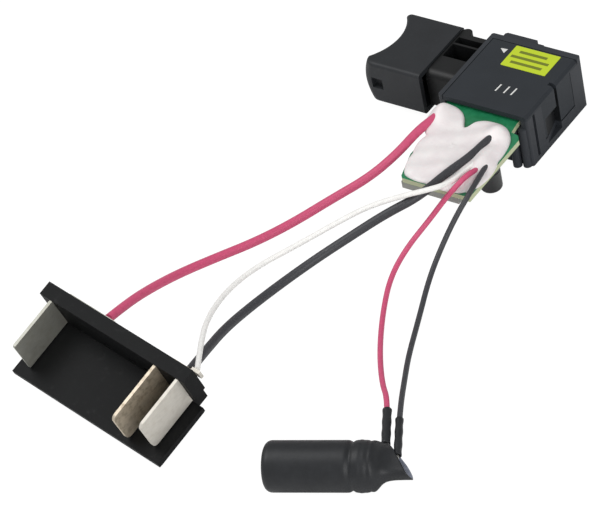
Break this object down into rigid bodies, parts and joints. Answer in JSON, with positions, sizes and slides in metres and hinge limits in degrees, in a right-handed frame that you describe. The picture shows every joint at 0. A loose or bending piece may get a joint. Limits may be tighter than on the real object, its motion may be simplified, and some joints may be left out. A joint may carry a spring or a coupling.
{
  "type": "power tool trigger switch",
  "caption": "Variable-speed trigger switch for a cordless power tool, with circuit board, lead wires, battery terminal block and a sleeved smoothing capacitor.",
  "frame": {"origin": "centre of the switch housing's underside, on the plane the lead set lies on", "axes": "+X from the trigger to the housing's rear, +Y away from the circuit board across the tool's grip, +Z out of the label side"},
  "size_m": [0.1174, 0.1744, 0.0288],
  "materials": {
    "black_nylon": "moulded glass-filled nylon, fine grain",
    "black_acetal": "moulded, satin",
    "trigger_nylon": "moulded, fine texture",
    "spring_steel": "drawn wire",
    "contact_copper": "stamped, plain",
    "phosphor_bronze": "stamped, plain",
    "board_green": "solder mask",
    "silicone_white": "cured silicone, satin",
    "heat_sink_aluminium": "milled",
    "epoxy_black": "moulded epoxy",
    "can_black": "printed sleeve, gloss",
    "sticker_yellow": "printed film",
    "insulation_red": "extruded",
    "insulation_black": "extruded",
    "insulation_white": "extruded",
    "block_nylon": "moulded, fine grain",
    "nickel_plate": "nickel plated, dull",
    "can_aluminium": "drawn can",
    "bung_rubber": "moulded",
    "sleeve_black": "heat-shrunk film, satin",
    "tinned_lead": "tinned wire"
  },
  "bodies": {
    "switch_assembly": {"housing_body": "black_nylon", "housing_cover": "black_nylon", "return_spring": "spring_steel", "fixed_contact_supply": "contact_copper", "fixed_contact_motor": "contact_copper", "circuit_board": "board_green", "heat_sink": "heat_sink_aluminium", "transistor_left": "epoxy_black", "transistor_right": "epoxy_black", "board_capacitor": "can_black", "board_chips": "epoxy_black", "label_sticker": "sticker_yellow", "wire_red_power": "insulation_red", "wire_black_power": "insulation_black", "wire_white_signal": "insulation_white", "wire_red_capacitor": "insulation_red", "wire_black_capacitor": "insulation_black", "silicone_potting": "silicone_white", "terminal_block": "block_nylon", "blade_positive": "nickel_plate", "blade_signal": "nickel_plate", "blade_negative": "nickel_plate", "capacitor_can": "can_aluminium", "capacitor_bung": "bung_rubber", "capacitor_lead_red": "tinned_lead", "capacitor_lead_black": "tinned_lead", "capacitor_sleeve": "sleeve_black", "lead_sleeve_red": "sleeve_black", "lead_sleeve_black": "sleeve_black"},
    "trigger_slide_body": {"trigger": "trigger_nylon", "plunger": "black_acetal", "wiper_brush": "phosphor_bronze", "moving_contact": "contact_copper"}
  },
  "joints": [
    {"name": "trigger_slide", "type": "slide", "parent": "switch_assembly", "child": "trigger_slide_body", "axis": [1, 0, 0], "range_m": [0, 0.006], "stiffness_N_per_m": 600, "springref_m": -0.005, "deforming": ["return_spring"]}
  ]
}
